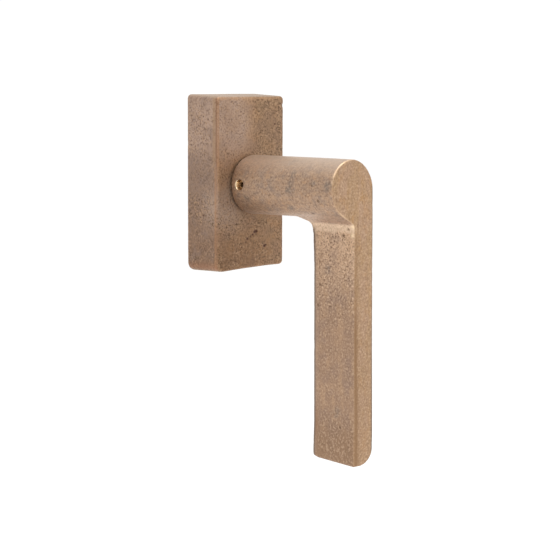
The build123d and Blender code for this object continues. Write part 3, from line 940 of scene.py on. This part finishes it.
# The worn rim keeps its strength only at the upper left and the lower part of the end face's rim: painted
# highlights where light glints on it.
upper_rim = eased(height_at, 0, 5 * mm) * eased(-lever.points[:, 0], -4 * mm, 2 * mm)
lower_rim = eased(-height_at, 6 * mm, 8 * mm) * eased(height_at, -12 * mm, -10.5 * mm)
lever.marks["wear_and_glint"] *= np.clip(0.75 * upper_rim + 0.6 * lower_rim, 0.04, 1) * eased(lever.edge, 0.6, 1.0)
stain = np.zeros(len(lever.points))
for place, radius in lever_stains:
    stain = np.maximum(stain, lever.spot(place, radius))
stain = eased(stain * (1 + 0.7 * cloud(lever.points, 1.6 * mm, 3, 4.0)), 0.15, 1.1)
lever.marks["stain"] = stain * (1 - linished)
lever.marks["linished"] = linished
lever.marks["neck"] = on_neck
lever.marks["band"] = band
lever.marks["coarse"] = coarse
# Painted highlights on the two beads at the front of the blade's left side, below the neck.
bead_glints = lever.spot((0.9, -71.6, -13.8), 1.0) + lever.spot((0.9, -71.0, -17.0), 0.8)
lever.marks["bead"] = np.clip(bead_glints, 0, 1)
# The neck's upper side gets a paler tint: a painted reflection of the sky.
lever.marks["top"] = eased(lever.normals[:, 2], 0.3, 0.95) * on_neck
# Painted shade along the blade's back rim and the right side of the neck and blade: the dark that these
# rounded edges would reflect.
back_rim = eased(blade_back + 1.7 * mm - depth_at, 0, 0.6 * mm) * eased(-height_at, 14 * mm, 17 * mm)
right_rim = eased(lever.points[:, 0], 10.1 * mm, 10.5 * mm) * eased(-height_at, -6 * mm, 0)
lever.marks["painted_dark_edge"] = np.maximum(back_rim, right_rim)
# A darker strip along the blade's front left ridge: painted shade on the rounded edge.
strip_middle = blade_left + (0.9 + 0.5 * eased(-height_at, 60 * mm, 85 * mm)) * mm
beside_strip = (lever.points[:, 0] - strip_middle) / (1.1 * mm)
strip = np.exp(-(beside_strip**2)) * eased(-height_at, 14 * mm, 20 * mm)
strip *= 0.5 + 0.5 * eased(-height_at, 35 * mm, 55 * mm)
lever.marks["blade_ridge_shade"] = linished * strip
# Painted light on the flat under the neck, which lifts the shade there.
painted_light_height = eased(-height_at, 8.5 * mm, 10.5 * mm) * eased(height_at, -14.4 * mm, -13.4 * mm)
lever.marks["painted_light_under_neck"] = painted_light_height * eased(lever.points[:, 0], -8 * mm, -5 * mm) * (1 - linished)

cast_lever = Finish("raw_cast_bronze_lever", metallic=0.85, roughness=0.48)
stain_grey = shade(118, 108, 101)
up_blade = cast_lever.along("Z")
warm_clouds = cast_lever.clouds(8 * mm, 0.38, 0.64, shift=0.4)
umber_clouds = cast_lever.clouds(6 * mm, 0.48, 0.64, shift=2.3)
tan_clouds = cast_lever.clouds(4.5 * mm, 0.5, 0.64, drawn_out=(1, 1, 1.8), shift=3.1)
side_skin = cast_lever.tinted(
    cast_lever.mixed(warm_clouds, shade(202, 170, 142), shade(210, 176, 145)),
    # painted shade: the blade's side darker from below its root downwards
    (cast_lever.between(up_blade, -19 * mm, -44 * mm), 1.0, shade(158, 129, 106)),
    (umber_clouds, 0.5, shade(144, 120, 106)),
    (tan_clouds, 0.5, shade(182, 149, 118)),
    (cast_lever.between(up_blade, -82 * mm, -96 * mm), 0.75, shade(142, 113, 88)),
    ("stain", 0.5, stain_grey),
)
side_grain = cast_lever.times(
    cast_lever.between(cast_lever.mark("coarse"), 0.3, 1.0, 0.5, 0.95),
    cast_lever.clouds(5 * mm, 0.36, 0.6, 0.7, 1.1, shift=4.4),
)
side_skin = cast_lever.speckled(
    side_skin, sand_grain, side_grain, shade(118, 93, 73), shade(214, 184, 156), shift=0.2
)
back_edge = cast_lever.between(cast_lever.along("Y"), -54.0 * mm, -51.5 * mm)
rust_clouds = cast_lever.clouds(6 * mm, 0.3, 0.5, drawn_out=(1, 1, 2.5), shift=0.6)
rusty_end = cast_lever.between(up_blade, -80 * mm, -89 * mm)
side_skin = cast_lever.tinted(
    side_skin,
    (back_edge, 0.6, shade(168, 142, 122)),
    (cast_lever.times(back_edge, rust_clouds), rusty_end, shade(144, 108, 80)),
)

neck_lines = cast_lever.clouds(1.1 * mm, 0.3, 0.7, octaves=4.0, drawn_out=(1, 3, 1), shift=0.1)
slaty_neck = cast_lever.clouds(4.5 * mm, 0.52, 0.68, shift=0.9)
ochre_neck = cast_lever.clouds(2.6 * mm, 0.56, 0.7, shift=0.6)
neck_skin = cast_lever.tinted(
    cast_lever.mixed(neck_lines, shade(153, 128, 109), shade(179, 148, 120)),
    (slaty_neck, 0.5, shade(138, 123, 114)),
    (ochre_neck, 0.5, shade(186, 145, 108)),
    # painted light on the flat under the neck
    ("painted_light_under_neck", 0.45, shade(204, 178, 160)),
    ("stain", 0.7, stain_grey),
)
neck_skin = cast_lever.speckled(
    neck_skin, sand_grain, 0.65, shade(122, 99, 82), shade(198, 170, 145), shift=0.8
)
# painted reflection of the sky on the neck's upper side
neck_skin = cast_lever.tinted(neck_skin, ("top", 0.6, shade(196, 176, 158)))

belt_lines = cast_lever.lumps(0.9 * mm, 3.0, drawn_out=(1, 1, 5), shift=0.3)
rosy_face = cast_lever.clouds(5 * mm, 0.44, 0.62, drawn_out=(1, 1, 2))
golden_face = cast_lever.clouds(3.5 * mm, 0.52, 0.66, drawn_out=(1, 1, 2), shift=5.2)
face_skin = cast_lever.tinted(
    cast_lever.mixed(cast_lever.between(belt_lines, 0.3, 0.7), shade(165, 134, 103), shade(183, 150, 116)),
    (rosy_face, 0.7, shade(178, 146, 122)),
    (golden_face, 0.6, shade(180, 140, 98)),
    (cast_lever.between(up_blade, -30 * mm, -70 * mm), 0.5, shade(160, 130, 104)),
)
face_skin = cast_lever.speckled(
    face_skin, sand_grain, 0.7, shade(142, 113, 87), shade(206, 175, 146), shift=1.4
)

band_skin = cast_lever.speckled(
    shade(217, 190, 164), sand_grain, 0.9, shade(178, 151, 126), shade(236, 210, 180), shift=2.0
)
lever_skin = cast_lever.tinted(
    side_skin,
    ("neck", 1.0, neck_skin),
    ("band", 0.8, band_skin),
    # painted highlights on the beads
    ("bead", 0.8, shade(240, 214, 178)),
    ("linished", 1.0, face_skin),
    ("blade_ridge_shade", 0.9, shade(140, 108, 78)),
    ("hollow", 0.4, shade(108, 84, 66)),
    # painted shade on the back and right rims
    ("painted_dark_edge", 0.75, shade(112, 98, 86)),
    ("pit", 0.7, shade(96, 72, 56)),
    # worn rims, kept where they make painted highlights
    ("wear_and_glint", 1.0, shade(224, 194, 158)),
)
cast_lever.paint(lever_skin)
cast_lever.gloss(cast_lever.between(cast_lever.mark("linished"), 0.0, 1.0, 0.5, 0.42))
cast_lever.relief((cast_lever.lumps(0.45 * mm, 3.0), 0.03 * mm), (belt_lines, 0.01 * mm))

lever.pour(cast_lever)
spigot = prism("spigot", round_outline(spigot_radius), spigot_tip, grub_depth, spigot_edge)
work(lever.piece, spigot, turned_bronze, operation="UNION")
socket_outline = rectangle(socket_side, socket_side, socket_corner)
socket = prism("socket", socket_outline, spigot_tip - overrun, socket_end)
work(lever.piece, socket, turned_bronze)
mouth_profile = [
    (grub_radius, 0.0),
    (grub_radius, neck_foot - (mouth_radius - grub_radius)),
    (mouth_radius, neck_foot),
    (mouth_radius + overrun, neck_foot + overrun),
]
hole_rings = [ring_of(radius, height) for radius, height in mouth_profile]
for ring in hole_rings[2:]:
    ring[:, 0] += mouth_offset
grub_hole = skinned("grub_hole", hole_rings)
into_neck = Matrix.Rotation(math.radians(-90), 4, "Y")
grub_hole.data.transform(Matrix.Translation((0, -grub_depth, 0)) @ into_neck)
work(lever.piece, grub_hole, turned_bronze)
lever.dress()
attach(lever.piece, "lever")
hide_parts("lever")

# Grub screw. The screw in the neck's side, which clamps the lever on the spindle; its
# hexagon socket shows at the bottom of the bright countersink, and the screw is coloured brown.
lever_screw_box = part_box("lever_grub_screw")
lever_screw_length = lever_screw_box[1].x - lever_screw_box[0].x
lever_point_radius = 1.2 * mm
lever_point_length = 0.8 * mm
lever_screw = grub_screw(
    "lever_grub_screw_threaded", lever_screw_length, lever_point_radius, lever_point_length
)
to_spindle = Matrix.Rotation(math.radians(90), 4, "Y")
lever_screw.data.transform(Matrix.Translation((lever_screw_box[0].x, -grub_depth, 0)) @ to_spindle)
brown_tinted_steel = Finish("brown_tinted_screw_steel", metallic=0.7, roughness=0.45)
brown_smear = brown_tinted_steel.clouds(0.9 * mm, 0.4, 0.7, shift=0.3)
brown_tinted_steel.paint(brown_tinted_steel.mixed(brown_smear, shade(150, 118, 82), shade(112, 84, 58)))
brown_tinted_steel.gloss(brown_tinted_steel.between(brown_smear, 0.0, 1.0, 0.38, 0.55))
brown_tinted_steel.relief((brown_tinted_steel.lumps(0.25 * mm, 2.0), 0.006 * mm))
finished(lever_screw, brown_tinted_steel)
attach(lever_screw, "lever")
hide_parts("lever_grub_screw")

# Floor and light. A pale floor well below the handle, a white sky all round and a
# broad soft light above.
floor_height = -0.3
floor_radius = 8.0
floor_thickness = 0.02
floor_rim = np.full(circle_points, floor_radius)
floor_sides = (floor_height - floor_thickness, floor_height)
floor = skinned("floor", [ring_of(floor_rim, height) for height in floor_sides])
floor_paint = Finish("pale_floor", metallic=0.0, roughness=0.8)
mottle = floor_paint.lumps(0.4, 2.0)
floor_paint.paint(floor_paint.mixed(mottle, shade(250, 250, 250), shade(253, 253, 253)))
finished(floor, floor_paint)

world = bpy.data.worlds.new("studio")
world.use_nodes = True
world.node_tree.nodes["Background"].inputs["Color"].default_value = (1.0, 1.0, 1.0, 1.0)
world.node_tree.nodes["Background"].inputs["Strength"].default_value = 1.05
bpy.context.scene.world = world
bpy.context.scene.view_settings.view_transform = "Standard"

light_place = Vector((-0.1, -0.25, 0.9))
handle_middle = Vector((0.0, -0.04, -0.03))
lamp = bpy.data.lights.new("overhead", "AREA")
lamp.size = 0.7
lamp.energy = 6.0
overhead = bpy.data.objects.new("overhead", lamp)
overhead.location = light_place
overhead.rotation_mode = "QUATERNION"
overhead.rotation_quaternion = (handle_middle - light_place).to_track_quat("-Z", "Y")
bpy.context.scene.collection.objects.link(overhead)

# Camera. It stands to the left of the handle and a little above it, where the outlines
# in the photograph put it, and sees the whole handle.
camera_azimuth = math.radians(-43.331)
camera_elevation = math.radians(6.965)
camera_roll = math.radians(-0.095)
camera_distance = 0.631803
camera_right = 0.022929
camera_up = -0.039236
frame_pixels = 560
focal_pixels = 1593.916
level_back = Vector((math.sin(camera_azimuth), -math.cos(camera_azimuth), 0))
level_right = Vector((math.cos(camera_azimuth), math.sin(camera_azimuth), 0))
back = level_back * math.cos(camera_elevation) + Vector((0, 0, math.sin(camera_elevation)))
level_up = back.cross(level_right)
right = level_right * math.cos(camera_roll) + level_up * math.sin(camera_roll)
up = level_up * math.cos(camera_roll) - level_right * math.sin(camera_roll)
lens = bpy.data.cameras.new("camera")
lens.sensor_width = 36.0
lens.lens = lens.sensor_width * focal_pixels / frame_pixels
lens.clip_start = 0.01
camera = bpy.data.objects.new("camera", lens)
turn = Matrix((right, up, back)).transposed()
spot = back * camera_distance + right * camera_right + up * camera_up
camera.matrix_world = Matrix.LocRotScale(spot, turn, None)
bpy.context.scene.collection.objects.link(camera)
bpy.context.scene.camera = camera
